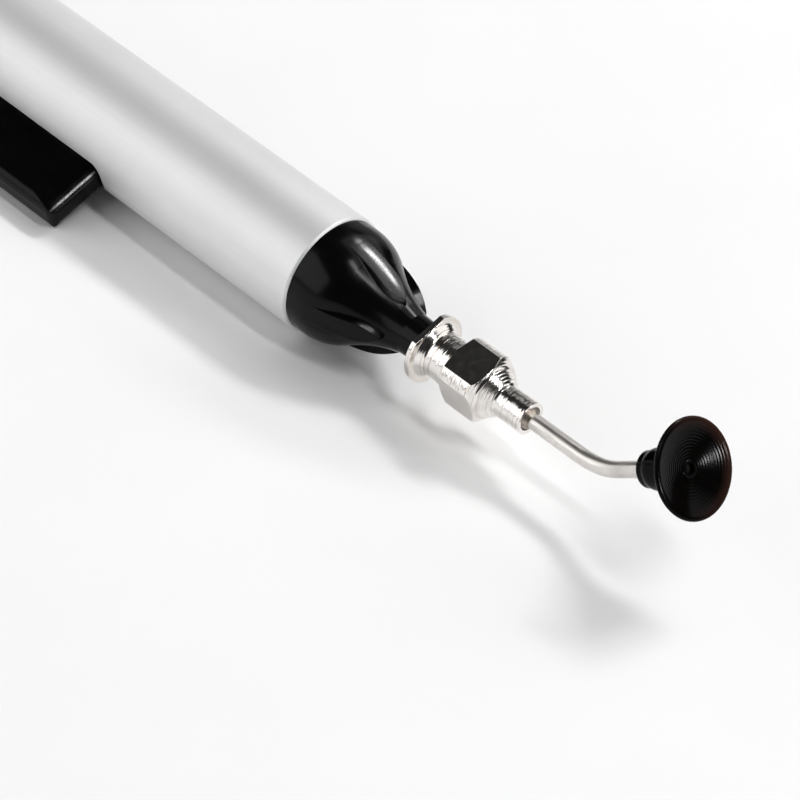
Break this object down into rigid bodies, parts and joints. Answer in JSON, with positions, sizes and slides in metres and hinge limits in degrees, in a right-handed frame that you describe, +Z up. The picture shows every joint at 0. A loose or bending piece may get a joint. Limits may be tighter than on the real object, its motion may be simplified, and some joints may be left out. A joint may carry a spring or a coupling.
{
  "type": "vacuum pick up pen",
  "caption": "Slim metal pen with a side press lever, tapered nose, plated needle hub and bent needle ending in a rubber suction cup, for lifting small parts.",
  "frame": {"origin": "on the floor under the middle of the part's box, with the pen lying on its barrel and lever", "axes": "+X along the barrel towards the needle, +Z up, and the lever on the -Y side"},
  "size_m": [0.1536, 0.0189, 0.0177],
  "materials": {
    "satin_aluminium": "satin",
    "black_gloss_plastic": "gloss",
    "black_lever_plastic": "semi-gloss",
    "bright_plate": "bright nickel plate",
    "steel": "drawn",
    "solder": "dull",
    "cup_rubber": "satin",
    "bladder_rubber": "matte"
  },
  "bodies": {
    "pen": {"barrel": "satin_aluminium", "nose_cone": "black_gloss_plastic", "rear_cap": "black_gloss_plastic", "pivot_pin": "steel", "return_spring": "steel", "air_bladder": "bladder_rubber", "bladder_clamp": "steel"},
    "lever": {"press_lever": "black_lever_plastic"},
    "needle": {"needle_hub": "bright_plate", "needle_tube": "steel", "solder_fillet": "solder"},
    "cup": {"suction_cup": "cup_rubber"}
  },
  "joints": [
    {"name": "lever_press", "type": "hinge", "parent": "pen", "child": "lever", "pos_m": [-0.04683, -0.0009, 0.00482], "axis": [0, -0.3989, 0.917], "range_deg": [0, 4], "stiffness_Nm_per_rad": 2, "springref_deg": -2.29, "deforming": ["return_spring", "air_bladder"]},
    {"name": "hub_turn", "type": "hinge", "parent": "pen", "child": "needle", "pos_m": [0.04103, 0.00295, 0.0065], "axis": [1, 0, 0], "continuous": true},
    {"name": "cup_pull", "type": "slide", "parent": "needle", "child": "cup", "axis": [0.8192, 0, 0.5736], "range_m": [0, 0.004]}
  ]
}
